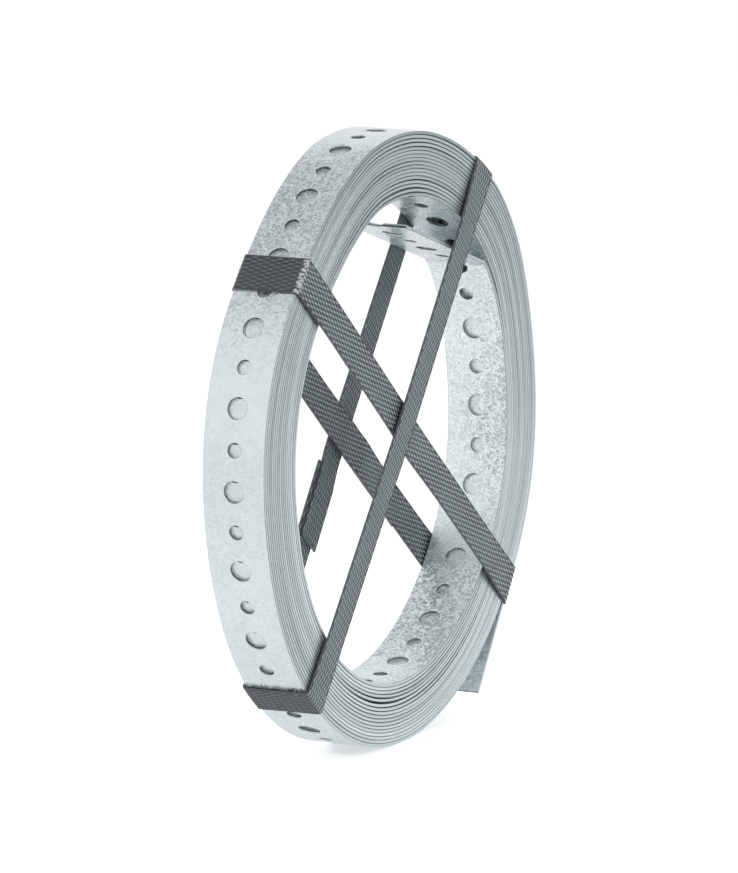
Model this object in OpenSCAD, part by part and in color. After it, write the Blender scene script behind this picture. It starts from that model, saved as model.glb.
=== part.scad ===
// Coil of galvanised perforated steel fixing band, tied with two crossed plastic straps.
// Millimetres: X runs to the right across the coil, Y along its axis, Z up. It stands on its rim.

/* [Band] */
// Width of the band, along the axis of the coil
band_w = 20; // [12:0.5:30]
// Thickness of the band
band_t = 1; // [0.6:0.1:2]
// Distance from one turn of the band to the next
turn_pitch = 1.115; // [1.02:0.005:2]
// Number of whole turns
turns = 17; // [4:1:30]
// Radius of the bore at the inner end of the band
inner_r = 72.56; // [40:0.01:150]
// Chamfer of the slit edges of the band
edge_chamfer = 0.15; // [0.05:0.05:0.3]
// Width of the line between two turns on the ends of the coil
turn_line_w = 0.3; // [0.1:0.05:0.5]
// Depth of the line between two turns
turn_line_d = 0.4; // [0.1:0.05:1]

/* [Holes] */
// Diameter of the wide holes
wide_d = 6.5; // [4:0.1:10]
// Diameter of the narrow holes
narrow_d = 4.4; // [2:0.1:6]
// Distance between neighbouring holes along the band
hole_pitch = 12.2; // [8:0.1:20]
// Distance from the last wide hole of the outer turn to the point where the outer tail leaves
outer_hole_start = 4.3; // [1:0.1:12]

/* [Inner tail] */
// Angle at which the inner tail leaves the bore
inner_end_angle = 37.8; // [0:0.1:90]
// Angle of the bend into the bore
inner_bend = 33.2; // [5:0.1:60]
// Inside radius of that bend
inner_bend_r = 2.5; // [1:0.1:10]
// Length of the straight part, to the cut through a narrow hole
inner_tail = 57.4; // [20:0.1:80]

/* [Outer tail] */
// Angle at which the outer tail leaves the rim
outer_end_angle = -35.4; // [-80:0.1:0]
// Length of the outer tail
outer_tail = 40.5; // [15:0.1:60]

/* [Straps] */
// Width of the plastic straps
strap_w = 12; // [6:0.1:19]
// Thickness of the plastic straps
strap_t = 0.6; // [0.3:0.05:1.2]
// Clearance between a strap and what it is wrapped around
strap_gap = 0.08; // [0.02:0.01:0.2]
// Inside radius of the folds over the edges of the coil
fold_r = 0.2; // [0.1:0.05:1]
// Direction of the first strap
strap_1_angle = -39.3; // [-60:0.1:-20]
// Distance of the first strap from the axis of the coil
strap_1_off = 2.3; // [-8:0.1:8]
// Direction of the second strap
strap_2_angle = 50.9; // [30:0.1:70]
// Distance of the second strap from the axis of the coil
strap_2_off = 4.5; // [-8:0.1:8]
// Length of the welded overlap of the first strap
seal_1_len = 34; // [15:0.5:45]
// Start of the overlap of the first strap, from the middle of the strap
seal_1_start = 12; // [9:0.5:25]
// Length of the welded overlap of the second strap
seal_2_len = 24; // [15:0.5:45]
// Start of the overlap of the second strap, from the middle of the strap
seal_2_start = 13.5; // [9:0.5:25]
// Skew of the overlapping end of the second strap
seal_2_skew = 2; // [0:0.5:10]

/* [Hidden] */
$fn = 96;
eps = 0.01;
part_turn = (inner_end_angle - outer_end_angle) / 360;
outer_r = inner_r + (turns + part_turn) * turn_pitch + band_t;
// The spiral is drawn with half turns about two centres, a quarter of the turn pitch off the axis.
off_c = turn_pitch / 4;
// The second half turn stands a hair proud where it follows the first one.
hair = 0.03;
out_1_r = outer_r - 3 * turn_pitch / 4 - hair;
out_2_r = outer_r - turn_pitch / 4;
out_c = [off_c * cos(outer_end_angle), off_c * sin(outer_end_angle)];
in_1_r = inner_r + turn_pitch / 4;
in_2_r = inner_r + 3 * turn_pitch / 4 + hair;
in_c = [off_c * cos(inner_end_angle), off_c * sin(inner_end_angle)];
// The axis of the coil stands so high that the rim touches z = 0, and in the middle of the width.
coil_x = (out_1_r - out_2_r) / 2;
coil_z = out_1_r + out_c[1];
half_w = band_w / 2;
// Lengths of the half turns along the middle of the band
out_1_len = PI * (out_1_r - band_t / 2);
out_2_len = PI * (out_2_r - band_t / 2);
in_1_len = PI * (in_1_r + band_t / 2);
in_2_len = PI * (in_2_r + band_t / 2);
bend_len = (inner_bend_r + band_t / 2) * inner_bend * PI / 180;
inner_hole_start = 5 * hole_pitch - inner_tail - bend_len;
outer_holes = floor((out_1_len + out_2_len - outer_hole_start) / hole_pitch);
inner_holes = floor((in_1_len + in_2_len - inner_hole_start - 4) / hole_pitch);
// Levels of the straps outside the ends of the coil
strap_in = half_w + strap_gap;
strap_out = strap_in + strap_t;
hump = strap_t + strap_gap;
hump_half = strap_w / 2 + 1;
// Distance from the middle of a strap to where it lies on the coil and its folds begin
fold_start = inner_r;
galvanised = [0.78, 0.8, 0.82];
grey = [0.36, 0.36, 0.37];
// Node to draw

function hole_d(k) = (k % 2 == 0) ? wide_d : narrow_d;

// Turns the part from the axis of the coil to the given angle: X outwards, Z along the turn.
module at_angle(a) {
    rotate([0, -a, 0]) children();
}

module turned(sweep = 360) {
    rotate([90, 0, 0]) rotate_extrude(angle = sweep) children();
}

// Half of the space, on the counter-clockwise side of the given angle
module half_space(a, size = 120) {
    at_angle(a) translate([-size, -size, 0]) cube([2 * size, 2 * size, size]);
}

module outer_disc(r) {
    turned() polygon([
        [0, -half_w],
        [r - edge_chamfer, -half_w],
        [r, -half_w + edge_chamfer],
        [r, half_w - edge_chamfer],
        [r - edge_chamfer, half_w],
        [0, half_w]
    ]);
}

module bore_disc(r) {
    turned() polygon([
        [0, -half_w - 1],
        [r + edge_chamfer, -half_w - 1],
        [r + edge_chamfer, -half_w],
        [r, -half_w + edge_chamfer],
        [r, half_w - edge_chamfer],
        [r + edge_chamfer, half_w],
        [r + edge_chamfer, half_w + 1],
        [0, half_w + 1]
    ]);
}

// Rim of the coil: the outer turn rises by one turn pitch on its way to the outer end.
module rim_body() {
    intersection() {
        translate([-out_c[0], 0, -out_c[1]]) outer_disc(out_1_r);
        half_space(outer_end_angle + 180);
    }
    intersection() {
        translate([out_c[0], 0, out_c[1]]) outer_disc(out_2_r);
        half_space(outer_end_angle);
    }
}

// Bore of the coil: the inner turn steps in by one turn pitch at the inner end.
module bore_body() {
    intersection() {
        translate([-in_c[0], 0, -in_c[1]]) bore_disc(in_1_r);
        half_space(inner_end_angle + 180);
    }
    intersection() {
        translate([in_c[0], 0, in_c[1]]) bore_disc(in_2_r);
        half_space(inner_end_angle);
    }
}

module turn_lines() {
    for (k = [1 : turns - 1]) {
        r = inner_r + turn_pitch * (k + 0.5) - (turn_pitch - band_t) / 2;
        for (s = [-1, 1]) {
            turned() polygon([
                [r - turn_line_w / 2, s * half_w],
                [r - turn_line_w / 2, s * (half_w + 1)],
                [r + turn_line_w / 2, s * (half_w + 1)],
                [r + turn_line_w / 2, s * half_w],
                [r, s * (half_w - turn_line_d)]
            ]);
        }
    }
}

// Hole through a sheet whose outer face is at X = x
module hole(d, x, over = 2) {
    translate([x - band_t, 0, 0]) rotate([0, 90, 0]) cylinder(d = d, h = band_t + over);
}

module outer_turn_holes() {
    for (k = [0 : outer_holes - 1]) {
        l = outer_hole_start + k * hole_pitch;
        if (l < out_2_len) {
            translate([out_c[0], 0, out_c[1]])
                at_angle(outer_end_angle + l / (out_2_r - band_t / 2) * 180 / PI)
                    hole(hole_d(k), out_2_r);
        } else {
            translate([-out_c[0], 0, -out_c[1]])
                at_angle(outer_end_angle + 180 + (l - out_2_len) / (out_1_r - band_t / 2) * 180 / PI)
                    hole(hole_d(k), out_1_r);
        }
    }
}

module inner_turn_holes() {
    for (k = [0 : inner_holes]) {
        l = inner_hole_start + k * hole_pitch;
        if (l < in_1_len) {
            translate([-in_c[0], 0, -in_c[1]])
                at_angle(inner_end_angle - l / (in_1_r + band_t / 2) * 180 / PI)
                    translate([-2, 0, 0]) hole(hole_d(k), in_1_r + band_t);
        } else {
            translate([in_c[0], 0, in_c[1]])
                at_angle(inner_end_angle - 180 - (l - in_1_len) / (in_2_r + band_t / 2) * 180 / PI)
                    translate([-2, 0, 0]) hole(hole_d(k), in_2_r + band_t);
        }
    }
}

// Band of a tail, a hair inside the outline of the turn that it leaves
module sheet(x, z0, z1) {
    translate([x + hair, -half_w + hair, z0])
        cube([band_t - 2 * hair, band_w - 2 * hair, z1 - z0]);
}

module outer_tail_piece() {
    at_angle(outer_end_angle) difference() {
        sheet(outer_r - band_t, -outer_tail, 0);
        for (k = [1 : floor((outer_tail + outer_hole_start) / hole_pitch)]) {
            translate([-1, 0, outer_hole_start - k * hole_pitch]) hole(hole_d(k), outer_r, 2);
        }
    }
}

// Point of the bend at the given angle, at r from its middle, moved on along the tail by l
function bend_point(r, a, l) =
    [inner_r - inner_bend_r + r * cos(a) - l * sin(a), r * sin(a) + l * cos(a)];

module inner_tail_piece() {
    steps = 8;
    r0 = inner_bend_r + hair;
    r1 = inner_bend_r + band_t - hair;
    at_angle(inner_end_angle) difference() {
        translate([0, half_w - hair, 0]) rotate([90, 0, 0])
            linear_extrude(height = band_w - 2 * hair) polygon(concat(
                [for (i = [0 : steps]) bend_point(r0, inner_bend * i / steps, 0)],
                [bend_point(r0, inner_bend, inner_tail)],
                [bend_point(r1, inner_bend, inner_tail)],
                [for (i = [steps : -1 : 0]) bend_point(r1, inner_bend * i / steps, 0)]
            ));
        translate([inner_r - inner_bend_r, 0, 0]) at_angle(inner_bend) {
            for (k = [0 : 4]) {
                translate([-1, 0, inner_tail - k * hole_pitch])
                    hole(hole_d(k + 1), inner_bend_r + band_t, 2);
            }
        }
    }
}

// The band: one wound piece with its bore, the lines of its turns, its holes and its two tails
module steel_band() {
    color(galvanised) translate([coil_x, 0, coil_z]) difference() {
        union() {
            difference() {
                rim_body();
                bore_body();
                turn_lines();
            }
            outer_tail_piece();
            inner_tail_piece();
        }
        outer_turn_holes();
        inner_turn_holes();
    }
}

// Section of a strap folded over the rim: X = 0 is the face of the rim
module fold_section(back = 35) {
    difference() {
        union() {
            translate([-back, -strap_out]) square([back + strap_gap - fold_r, 2 * strap_out]);
            translate([-back, -strap_in + fold_r])
                square([back + strap_gap + strap_t, 2 * (strap_in - fold_r)]);
            for (s = [-1, 1]) {
                translate([strap_gap - fold_r, s * (strap_in - fold_r)]) circle(r = fold_r + strap_t);
            }
        }
        translate([-back - 1, -strap_in]) square([back + 1 + strap_gap - fold_r, 2 * strap_in]);
        translate([-back - 1, -strap_in + fold_r])
            square([back + 1 + strap_gap, 2 * (strap_in - fold_r)]);
        for (s = [-1, 1]) {
            translate([strap_gap - fold_r, s * (strap_in - fold_r)]) circle(r = fold_r);
        }
    }
}

// Frame of a strap: X along it, Z across it, from the middle of its run
module along_strap(a, off) {
    at_angle(a) translate([0, 0, off]) children();
}

// Point of the coil in the frame of a strap
function in_strap(c, a, off) =
    [c[0] * cos(a) + c[1] * sin(a), c[1] * cos(a) - c[0] * sin(a) - off];

// Fold of a strap over the rim, which is round about c
module rim_fold(side, c, r) {
    intersection() {
        translate([side > 0 ? fold_start : -fold_start - 60, -30, -strap_w / 2])
            cube([60, 60, strap_w]);
        translate([c[0], 0, c[1]]) turned() translate([r, 0]) fold_section();
    }
}

module flat_run(s0, s1, y) {
    translate([s0, y, -strap_w / 2]) cube([s1 - s0, strap_t, strap_w]);
}

module inner_strap() {
    // The fold at the outer tail is drawn about a lower centre, so that it lies along the tail.
    tail_c = [0, -strap_w / 2 - 0.3];
    tail_q = strap_1_off - strap_w / 2;
    tilt = outer_end_angle - strap_1_angle;
    tail_r = (outer_r - tail_q * sin(tilt)) / cos(tilt) + hair;
    color(grey) translate([coil_x, 0, coil_z]) along_strap(strap_1_angle, strap_1_off) {
        rim_fold(-1, in_strap(out_c, strap_1_angle, strap_1_off), out_2_r);
        rim_fold(1, tail_c, tail_r);
        flat_run(-fold_start, fold_start, -strap_out);
        flat_run(-fold_start, fold_start, strap_in);
        flat_run(seal_1_start, seal_1_start + seal_1_len, strap_in - strap_t);
    }
}

// Level of the second strap above the end of the coil, at s along it
function lift(s) =
    abs(s - strap_1_off) < hump_half ? hump :
    abs(s - strap_1_off) > inner_r - 4 ? 0 :
    hump * (inner_r - 4 - abs(s - strap_1_off)) / (inner_r - 4 - hump_half);

// Stretch of the second strap between s0 and s1, on the near side (-1) or the far side (1)
module humped_run(side, points, base) {
    n = len(points);
    translate([0, 0, -strap_w / 2]) linear_extrude(height = strap_w) polygon(concat(
        [for (i = [0 : n - 1]) [points[i], side * (base + lift(points[i]))]],
        [for (i = [n - 1 : -1 : 0]) [points[i], side * (base + strap_t + lift(points[i]))]]
    ));
}

module outer_strap() {
    run = [
        -fold_start,
        strap_1_off - inner_r + 4 - eps,
        strap_1_off - hump_half + eps,
        strap_1_off + hump_half - eps,
        strap_1_off + inner_r - 4 + eps,
        fold_start
    ];
    color(grey) translate([coil_x, 0, coil_z]) along_strap(strap_2_angle, strap_2_off) {
        rim_fold(1, in_strap(out_c, strap_2_angle, strap_2_off), out_2_r);
        rim_fold(-1, in_strap(-out_c, strap_2_angle, strap_2_off), out_1_r);
        humped_run(-1, run, strap_in);
        humped_run(1, run, strap_in);
        translate([-seal_2_start, 0, 0]) rotate([0, -seal_2_skew, 0]) translate([seal_2_start, 0, 0])
            humped_run(1, [-seal_2_start - seal_2_len, -seal_2_start], strap_in - strap_t + hair);
    }
}

steel_band();
inner_strap();
outer_strap();
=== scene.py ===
"""Looks of a coil of galvanised perforated fixing band that two crossed, embossed straps tie up."""

import logging
import math
from dataclasses import dataclass, field
from enum import Enum
from typing import Any

import bmesh
import bpy
import numpy as np
from mathutils import Matrix, Vector


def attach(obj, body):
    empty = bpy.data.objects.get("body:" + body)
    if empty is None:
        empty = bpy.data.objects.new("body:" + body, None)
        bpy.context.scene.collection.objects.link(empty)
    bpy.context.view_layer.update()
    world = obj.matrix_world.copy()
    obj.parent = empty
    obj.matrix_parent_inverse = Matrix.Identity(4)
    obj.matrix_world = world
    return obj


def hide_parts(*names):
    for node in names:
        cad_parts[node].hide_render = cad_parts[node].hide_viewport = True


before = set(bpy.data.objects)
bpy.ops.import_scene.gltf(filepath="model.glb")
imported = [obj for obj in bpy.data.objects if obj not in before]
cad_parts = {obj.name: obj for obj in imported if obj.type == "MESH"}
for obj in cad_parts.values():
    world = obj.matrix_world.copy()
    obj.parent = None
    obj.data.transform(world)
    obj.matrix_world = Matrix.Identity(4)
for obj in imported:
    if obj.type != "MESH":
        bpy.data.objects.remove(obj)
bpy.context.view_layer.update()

LOG = logging.getLogger("coil")
MM = 0.001
FULL_TURN = 2 * math.pi
# Phases of waves are drawn from 0 to this angle
ANY_PHASE = 6.28
# Places in millimetres that lie nearer than this count as one
SAME = 1e-3
# Marks on a strap's vertices: 0 on its net, and these on the floor of a cell and on its cut sides
CELL_FLOOR = 1.0
CUT_SIDE = 1.7
Colour = tuple[float, float, float, float]
Spot = tuple[float, float, float]
WHITE: Colour = (1.0, 1.0, 1.0, 1.0)


class Turning(Enum):
    """Way in which a strap runs round the coil, seen from above its run."""

    LEFT = 1
    RIGHT = -1


class Hole(Enum):
    """The two holes that alternate along the band, by their diameters in millimetres."""

    WIDE = 6.5
    NARROW = 4.4


@dataclass(frozen=True)
class CoilSizes:
    """Sizes of the wound band in millimetres and degrees, as in the part's source."""

    band_w: float = 20.0
    band_t: float = 1.0
    turn_pitch: float = 1.115
    turns: int = 17
    inner_r: float = 72.56
    hole_pitch: float = 12.2
    outer_hole_start: float = 4.3
    inner_end_angle: float = 37.8
    inner_bend: float = 33.2
    inner_bend_r: float = 2.5
    inner_tail: float = 57.4
    outer_end_angle: float = -35.4
    outer_tail: float = 40.5
    axis_x: float = -0.29375
    axis_z: float = 91.71399

    @property
    def wound(self) -> float:
        """Angle of the whole winding in radians."""
        return math.radians(360 * self.turns + self.inner_end_angle - self.outer_end_angle)


# Angle on the coil in degrees, and how far its rim and its bore stand out of round there, in millimetres
OUT_OF_ROUND: tuple[tuple[float, float, float], ...] = (
    (0, 0.1, -0.8), (10, -0.5, -1.2), (20, -0.1, -0.4), (31, 1.15, 0.3), (44, 1.3, 0.0), (58, -0.1, -1.0),
    (72, -0.7, -1.15), (90, -0.2, -0.85), (104, 0.35, -0.35), (116, -0.9, -1.7), (128, -1.85, -2.5),
    (140, -1.9, -2.0), (152, 0.1, -1.3), (165, 1.15, -0.8), (178, 0.95, -0.9), (190, 0.25, -1.4),
    (202, 0.0, -1.0), (216, 0.15, -0.65), (235, -0.1, -0.2), (255, 0.0, 0.1), (275, -0.1, 0.1),
    (292, -0.15, 0.0), (308, -0.2, 0.0), (320, 0.2, 0.2), (332, 1.0, 0.5), (344, 1.15, 0.6), (353, 0.6, 0.0),
)


class WindingPath:
    """Middle line of the band, from its inner end along all turns to its outer end."""

    spiral_points: int = 17000
    tail_points: int = 60
    # First step of a tail away from what it leaves
    tail_step: float = 0.5
    bend_points: int = 24
    slack_points: int = 721
    slack_waves: int = 6
    # Mean looseness of the turns, and how much it grows at the top and the bottom of the coil
    looseness: tuple[float, float] = (0.6, 0.4)
    # Step in degrees of the coil's out-of-round shape, and over how many steps it is smoothed
    round_step: float = 0.5
    round_smooth: int = 25
    # How far the inner end springs into the bore, and over what angle in radians
    spring: float = 1.0
    spring_angle: float = 0.25

    def __init__(self, sizes: CoilSizes, seed: int = 7) -> None:
        """Lays out the line.

        Args:
            sizes: sizes of the wound band.
            seed: seed of the small differences between the turns.
        """
        self.sizes = sizes
        self.phi = np.linspace(0.0, sizes.wound, self.spiral_points)
        self.theta = math.radians(sizes.inner_end_angle) - self.phi
        rise = sizes.turn_pitch * self.phi / FULL_TURN
        self.radius = sizes.inner_r + sizes.band_t / 2 + rise
        self.radius += self._slack(seed) + self._out_of_round()
        spiral = self.radius[:, None] * np.column_stack([np.cos(self.theta), np.sin(self.theta)])
        points = np.vstack([self._inner_tail(spiral[0]), spiral, self._outer_tail(spiral[-1])])
        step = np.hypot(*np.diff(points, axis=0).T)
        keep = np.append(True, step > 1e-6)
        self.points = points[keep]
        self.length = np.append(0.0, np.cumsum(np.hypot(*np.diff(self.points, axis=0).T)))
        self.run = np.append(0.0, np.cumsum(np.hypot(*np.diff(spiral, axis=0).T)))
        self.start = self.leave - float(self.run[-1])
        way = np.gradient(self.points, self.length, axis=0)
        self.way = way / np.hypot(*way.T)[:, None]

    @property
    def leave(self) -> float:
        """Length from the inner end to the point where the outer tail leaves the rim."""
        return float(self.length[-1]) - self.sizes.outer_tail

    def _slack(self, seed: int) -> np.ndarray:
        """Gives the uneven gaps between the turns.

        Args:
            seed: seed of the gaps.

        Returns:
            For each point of the spiral, how far it stands off an even winding.
        """
        random = np.random.default_rng(seed)
        count = self.sizes.turns
        angle = np.linspace(0, FULL_TURN, self.slack_points)
        loose = self.looseness[0] - self.looseness[1] * np.cos(2 * angle)
        share = np.empty((count, angle.size))
        for turn in range(count):
            wave = np.zeros_like(angle)
            for order in range(1, self.slack_waves + 1):
                wave += random.normal() * np.cos(order * angle + random.uniform(0, ANY_PHASE)) / order**0.5
            share[turn] = np.exp(loose * wave)
        gap = self.sizes.turn_pitch - self.sizes.band_t
        gaps = share / share.sum(0) * count * gap
        drift = np.vstack([np.zeros_like(angle), np.cumsum(gaps, axis=0)])
        drift -= np.arange(count + 1)[:, None] * gap
        drift = np.vstack([drift, np.zeros_like(angle)])
        turn = np.minimum((self.phi / FULL_TURN).astype(int), count)
        part = self.phi / FULL_TURN - turn
        column = np.mod(self.theta, FULL_TURN)
        slack = np.empty_like(self.phi)
        for k in range(count + 1):
            here = turn == k
            low = np.interp(column[here], angle, drift[k])
            high = np.interp(column[here], angle, drift[k + 1])
            slack[here] = (1 - part[here]) * low + part[here] * high
        return slack

    def _out_of_round(self) -> np.ndarray:
        """Returns, for each point of the spiral, how far the coil stands out of round there."""
        angle, *out = np.array(OUT_OF_ROUND).T
        fine = np.arange(0.0, 360.0, self.round_step)
        window = np.hanning(self.round_smooth)
        window /= window.sum()
        over = self.round_smooth // 2
        waves = []
        for side in out:
            wave = np.interp(fine, angle, side, period=360)
            wave = np.convolve(np.concatenate([wave[-over:], wave, wave[:over]]), window, "valid")
            waves.append(np.interp(np.degrees(self.theta), fine, wave, period=360))
        share = self.phi / self.sizes.wound
        spring = self.spring * np.exp(-((self.phi / self.spring_angle) ** 2))
        return share * waves[0] + (1 - share) * waves[1] - spring

    def _inner_tail(self, start: np.ndarray) -> np.ndarray:
        """Lays the straight inner tail and its bend.

        Args:
            start: first point of the spiral.

        Returns:
            Points from the cut end of the band to the spiral.
        """
        sizes = self.sizes
        angle = math.radians(sizes.inner_end_angle)
        out = np.array([math.cos(angle), math.sin(angle)])
        along = np.array([-math.sin(angle), math.cos(angle)])
        radius = sizes.inner_bend_r + sizes.band_t / 2
        turn = np.radians(np.linspace(sizes.inner_bend, 0.0, self.bend_points))[:, None]
        bend = radius * (np.cos(turn) * out + np.sin(turn) * along)
        back = -math.sin(turn[0, 0]) * out + math.cos(turn[0, 0]) * along
        tail = bend[0] + np.linspace(sizes.inner_tail, self.tail_step, self.tail_points)[:, None] * back
        return np.vstack([tail, bend[:-1]]) + start - radius * out

    def _outer_tail(self, start: np.ndarray) -> np.ndarray:
        """Lays the straight outer tail.

        Args:
            start: last point of the spiral.

        Returns:
            Points from the rim to the outer end of the band.
        """
        angle = math.radians(self.sizes.outer_end_angle)
        along = np.array([math.sin(angle), -math.cos(angle)])
        walk = np.linspace(self.tail_step, self.sizes.outer_tail, self.tail_points)
        return start + walk[:, None] * along

    def open(self, length: np.ndarray) -> np.ndarray:
        """Tells how open the winding is.

        Args:
            length: lengths along the band from its inner end.

        Returns:
            Gap between the turns there in millimetres, outside the band or, on the last turn, inside it.
        """
        ahead = np.interp(self.phi + FULL_TURN, self.phi, self.radius) - self.radius
        behind = self.radius - np.interp(self.phi - FULL_TURN, self.phi, self.radius)
        rise = np.where(self.phi < self.sizes.wound - FULL_TURN, ahead, behind)
        return np.interp(length - self.start, self.run, rise - self.sizes.band_t)

    def rim(self, theta: np.ndarray) -> np.ndarray:
        """Gives the outer face of the coil.

        Args:
            theta: angles on the coil in radians.

        Returns:
            Radius of the outermost turn at those angles.
        """
        start = math.radians(self.sizes.inner_end_angle)
        last = self.sizes.wound - np.mod(self.sizes.wound - start + theta, FULL_TURN)
        return np.interp(last, self.phi, self.radius) + self.sizes.band_t / 2

    def at(self, length: np.ndarray) -> tuple[np.ndarray, np.ndarray]:
        """Finds points of the line.

        Args:
            length: lengths along the band from its inner end.

        Returns:
            Places and directions at those lengths, across and up from the axis of the coil.
        """
        place = np.column_stack([np.interp(length, self.length, c) for c in self.points.T])
        way = np.column_stack([np.interp(length, self.length, c) for c in self.way.T])
        return place, way / np.hypot(*way.T)[:, None]


class Sock:
    """Output of a shader node, on which arithmetic adds Math nodes."""

    def __init__(self, shader: "Shader", out: bpy.types.NodeSocket) -> None:
        """Keeps the socket and the shader that it belongs to."""
        self.shader, self.out = shader, out

    def _math(self, operation: str, first: Any, second: Any) -> "Sock":
        """Adds one Math node.

        Args:
            operation: name of the operation.
            first: first value or socket.
            second: second value or socket.

        Returns:
            The result.
        """
        return self.shader.node("ShaderNodeMath", {"operation": operation}, {0: first, 1: second})

    def __add__(self, other: Any) -> "Sock":
        """Adds a value or socket."""
        return self._math("ADD", self, other)

    __radd__ = __add__

    def __sub__(self, other: Any) -> "Sock":
        """Takes a value or socket away."""
        return self._math("SUBTRACT", self, other)

    def __rsub__(self, other: Any) -> "Sock":
        """Takes this away from a value."""
        return self._math("SUBTRACT", other, self)

    def __mul__(self, other: Any) -> "Sock":
        """Multiplies by a value or socket."""
        return self._math("MULTIPLY", self, other)

    __rmul__ = __mul__

    def step(self, low: float, high: float) -> "Sock":
        """Maps the range from low to high smoothly onto 0 to 1.

        Args:
            low: value that gives 0.
            high: value that gives 1.

        Returns:
            The mapped value.
        """
        return self.shader.node(
            "ShaderNodeMapRange",
            {"interpolation_type": "SMOOTHSTEP", "clamp": True},
            {"Value": self, "From Min": low, "From Max": high},
        )

    def between(self, first: float, last: float) -> "Sock":
        """Maps the range from 0 to 1 onto the range from first to last.

        Args:
            first: result at 0.
            last: result at 1.

        Returns:
            The mapped value.
        """
        return first + (last - first) * self


class Shader:
    """Node tree of one material or of the world."""

    def __init__(self, owner: bpy.types.Material | bpy.types.World) -> None:
        """Starts from an empty tree."""
        owner.use_nodes = True
        self.owner, self.tree = owner, owner.node_tree
        self.tree.nodes.clear()

    def node(
        self, kind: str, settings: dict | None = None, inputs: dict | None = None, output: Any = 0
    ) -> Sock:
        """Adds a node.

        Args:
            kind: type of the node.
            settings: its settings.
            inputs: values or sockets of its inputs, by name or number.
            output: name or number of the output to go on with.

        Returns:
            That output.
        """
        made = self.tree.nodes.new(kind)
        for key, value in (settings or {}).items():
            setattr(made, key, value)
        for key, value in (inputs or {}).items():
            if isinstance(value, Sock):
                self.tree.links.new(value.out, made.inputs[key])
            else:
                made.inputs[key].default_value = value
        return Sock(self, made.outputs[output] if made.outputs else None)

    def mix(self, factor: Any, first: Any, second: Any) -> Sock:
        """Mixes two colours.

        Args:
            factor: share of the second colour.
            first: first colour or socket.
            second: second colour or socket.

        Returns:
            The mixed colour.
        """
        return self.node("ShaderNodeMix", {"data_type": "RGBA"}, {0: factor, 6: first, 7: second}, 2)

    def value(self, name: str) -> Sock:
        """Returns the number that a mesh keeps under a name for each vertex."""
        return self.node("ShaderNodeAttribute", {"attribute_name": name}, None, "Fac")

    def ray(self, kind: str) -> Sock:
        """Returns 1 on rays of a kind, such as "Is Camera Ray", and 0 on others."""
        return self.node("ShaderNodeLightPath", None, None, kind)

    def bump(self, height: Sock, strength: float, depth: float, below: Sock | None = None) -> Sock:
        """Adds fine relief.

        Args:
            height: the relief.
            strength: how strongly it shows.
            depth: its depth in millimetres.
            below: direction of the surface below it, where that isn't the mesh's own.

        Returns:
            The direction of the surface with its relief.
        """
        inputs = {"Strength": strength, "Distance": depth * MM, "Height": height}
        if below:
            inputs["Normal"] = below
        return self.node("ShaderNodeBump", None, inputs)

    def flat(self, layer: str, along: float = 1.0) -> Sock:
        """Gives places on the flat strip in millimetres.

        Args:
            layer: name of the map that holds the flat strip.
            along: stretch of the pattern along the strip.

        Returns:
            The places.
        """
        uv = self.node("ShaderNodeUVMap", {"uv_map": layer})
        return self.node("ShaderNodeMapping", None, {"Vector": uv, "Scale": (1 / along / MM, 1 / MM, 1)})

    def noise(
        self, place: Sock, size: float, detail: float = 3.0, rough: float = 0.6, output: str = "Fac"
    ) -> Sock:
        """Adds cloudy noise.

        Args:
            place: where it is read.
            size: size of its clouds, in the unit of place.
            detail: number of finer layers.
            rough: weight of the finer layers.
            output: output to go on with.

        Returns:
            Its value or colour.
        """
        return self.node(
            "ShaderNodeTexNoise",
            {"noise_dimensions": "3D"},
            {"Vector": place, "Scale": 1 / size, "Detail": detail, "Roughness": rough},
            output,
        )

    def crystals(self, place: Sock, size: float, feature: str = "F1", output: str = "Color") -> Sock:
        """Adds a pattern of cells.

        Args:
            place: where it is read.
            size: size of the cells, in the unit of place.
            feature: what is found there.
            output: output to go on with.

        Returns:
            A random colour for each cell, or the distance from its seam.
        """
        return self.node(
            "ShaderNodeTexVoronoi",
            {"voronoi_dimensions": "2D", "feature": feature},
            {"Vector": place, "Scale": 1 / size, "Randomness": 1.0},
            output,
        )

    def vector(self, operation: str, *values: Any) -> Sock:
        """Adds one Vector Math node.

        Args:
            operation: name of the operation.
            values: vectors or sockets, in order.

        Returns:
            The resulting vector.
        """
        return self.node("ShaderNodeVectorMath", {"operation": operation}, dict(enumerate(values)))

    def surface(self, inputs: dict) -> bpy.types.Material:
        """Closes a material with its shader.

        Args:
            inputs: values or sockets of the shader.

        Returns:
            The material.
        """
        shader = self.node("ShaderNodeBsdfPrincipled", None, inputs)
        self.node("ShaderNodeOutputMaterial", None, {"Surface": shader})
        return self.owner


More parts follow.
